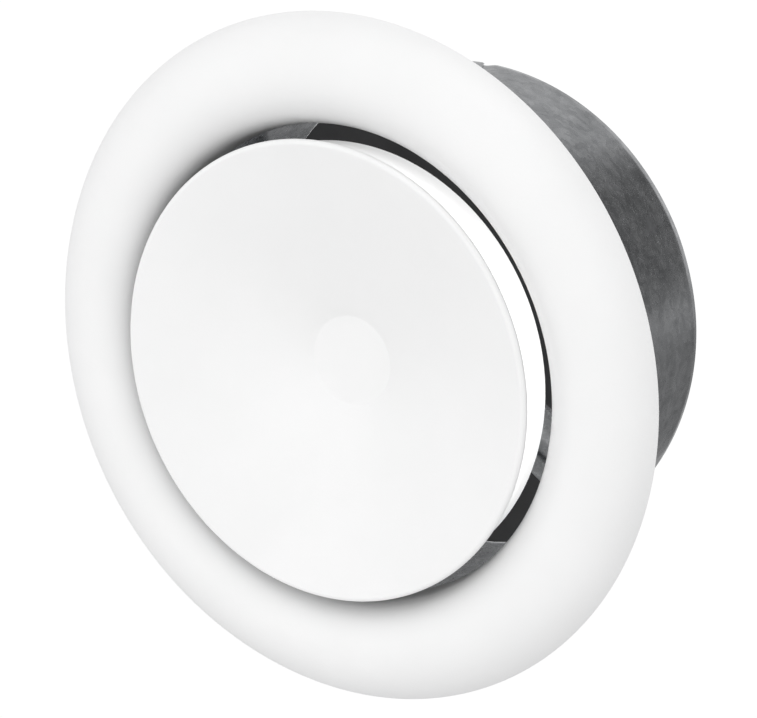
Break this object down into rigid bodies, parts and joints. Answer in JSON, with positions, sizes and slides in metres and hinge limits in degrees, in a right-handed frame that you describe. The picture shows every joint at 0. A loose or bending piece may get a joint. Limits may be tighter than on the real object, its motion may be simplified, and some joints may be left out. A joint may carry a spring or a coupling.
{
  "type": "ceiling air diffuser",
  "caption": "Round ceiling disc valve: dished disc on a screwed spindle in a domed ring, twisted into a galvanised duct collar.",
  "frame": {"origin": "on the valve's axis, in the plane of the ceiling, where the collar stands on its flange", "axes": "+Z along the axis, up into the duct; the room and the disc's face are on the -Z side; +X along the bridge"},
  "size_m": [0.2, 0.2, 0.0852],
  "materials": {
    "white_powder_coat": "satin white powder coat",
    "galvanised_steel": "hot-dip galvanised sheet with fine spangle",
    "zinc_plated_steel": "bright zinc plate",
    "spring_steel": "dark spring steel",
    "rivet_aluminium": "plain aluminium",
    "grey_foam": "closed-cell foam",
    "damping_foam": "open-cell foam"
  },
  "bodies": {
    "mounting_ring": {"collar": "galvanised_steel", "ceiling_flange": "galvanised_steel"},
    "valve_body": {"outer_ring": "white_powder_coat", "spigot": "galvanised_steel", "ring_gasket": "grey_foam", "bayonet_pins": "zinc_plated_steel", "bridge": "galvanised_steel", "bridge_rivets": "rivet_aluminium", "bridge_nut": "zinc_plated_steel"},
    "lock_washers": {"lock_washer": "zinc_plated_steel", "lock_spring_washer": "spring_steel"},
    "lock_nut": {"lock_nut": "zinc_plated_steel"},
    "stop_washer": {"stop_washer": "zinc_plated_steel"},
    "disc": {"disc_face": "white_powder_coat", "disc_back_shell": "white_powder_coat", "damping_pad": "damping_foam", "hub_plate": "galvanised_steel", "hub_rivets": "rivet_aluminium", "inner_nut": "zinc_plated_steel", "hub_washer": "zinc_plated_steel", "hub_nut": "zinc_plated_steel", "spindle": "zinc_plated_steel", "split_pin": "spring_steel"}
  },
  "joints": [
    {"name": "bayonet_twist", "type": "hinge", "parent": "mounting_ring", "child": "valve_body", "pos_m": [0, 0, 0], "axis": [0, 0, 1], "range_deg": [-20, 0]},
    {"name": "disc_travel", "type": "slide", "parent": "valve_body", "child": "stop_washer", "axis": [0, 0, 1], "range_m": [-0.01255, 0.01255]},
    {"name": "disc_turn", "type": "hinge", "parent": "stop_washer", "child": "disc", "pos_m": [0, 0, 0], "axis": [0, 0, 1], "range_deg": [-3600, 3600]},
    {"name": "lock_nut_travel", "type": "slide", "parent": "valve_body", "child": "lock_washers", "axis": [0, 0, 1], "range_m": [-0.00251, 0]},
    {"name": "lock_nut_turn", "type": "hinge", "parent": "lock_washers", "child": "lock_nut", "pos_m": [0, 0, 0], "axis": [0, 0, 1], "range_deg": [-720, 0]}
  ],
  "couplings": [
    {"joint": "disc_travel", "follows": "disc_turn", "m_per_rad": 0.00019894},
    {"joint": "lock_nut_travel", "follows": "lock_nut_turn", "m_per_rad": 0.00019894}
  ]
}
